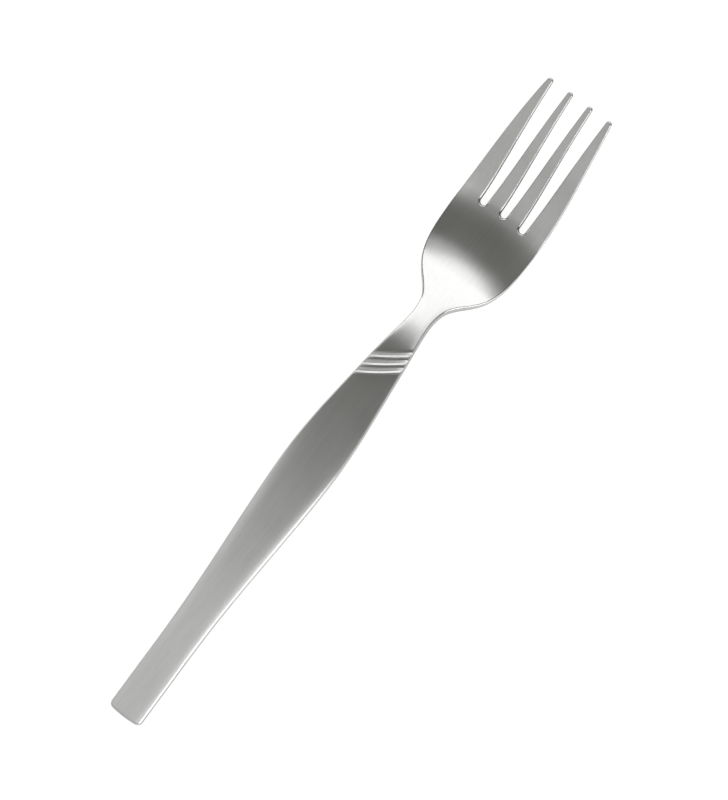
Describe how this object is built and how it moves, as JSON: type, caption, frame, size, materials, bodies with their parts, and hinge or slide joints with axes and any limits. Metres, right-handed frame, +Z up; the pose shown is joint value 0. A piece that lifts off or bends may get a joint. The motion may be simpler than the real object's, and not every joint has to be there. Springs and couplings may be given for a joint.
{
  "type": "dinner fork",
  "caption": "One-piece dinner fork with a flat swelling handle, diagonal grooves near the neck, a dished bowl and tapering tines, in satin steel.",
  "frame": {"origin": "under the middle of the bounding box, on the surface that the fork rests on", "axes": "+X from the handle end to the tine tips, +Y to the left of someone looking from the handle to the tips, +Z up out of the bowl's hollow side"},
  "size_m": [0.1985, 0.0264, 0.0155],
  "materials": {
    "satin_steel": "satin, finely brushed along the fork's length"
  },
  "bodies": {
    "root": {"handle": "satin_steel", "neck": "satin_steel", "bowl": "satin_steel", "tine_1": "satin_steel", "tine_2": "satin_steel", "tine_3": "satin_steel", "tine_4": "satin_steel"}
  },
  "joints": []
}
